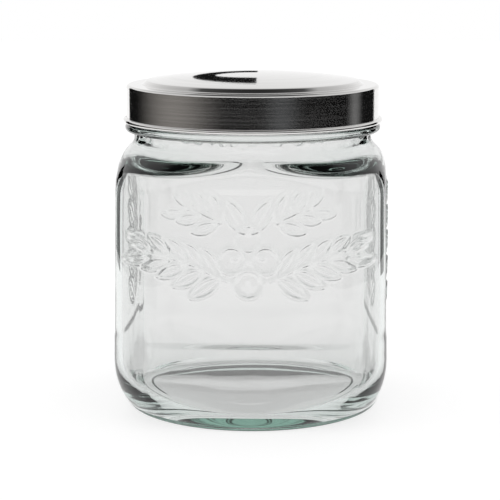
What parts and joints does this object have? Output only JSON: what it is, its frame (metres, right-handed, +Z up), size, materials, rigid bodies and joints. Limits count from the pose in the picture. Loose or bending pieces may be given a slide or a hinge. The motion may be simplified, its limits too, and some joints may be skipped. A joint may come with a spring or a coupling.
{
  "type": "food storage canister",
  "caption": "Clear glass storage canister of rounded-square plan with a round neck, a glass ring and a one-piece brushed steel lid with a shallow stepped dome.",
  "frame": {"origin": "centre of the base ring, on the surface the jar stands on", "axes": "+Z up from the base to the lid; the front panel faces -Y and the two side panels face +X and -X"},
  "size_m": [0.1372, 0.1372, 0.1702],
  "materials": {
    "glass": "clear with a faint green tint",
    "lid_steel": "fine brushed"
  },
  "bodies": {
    "root": {"jar": "glass", "lid": "lid_steel"}
  },
  "joints": []
}
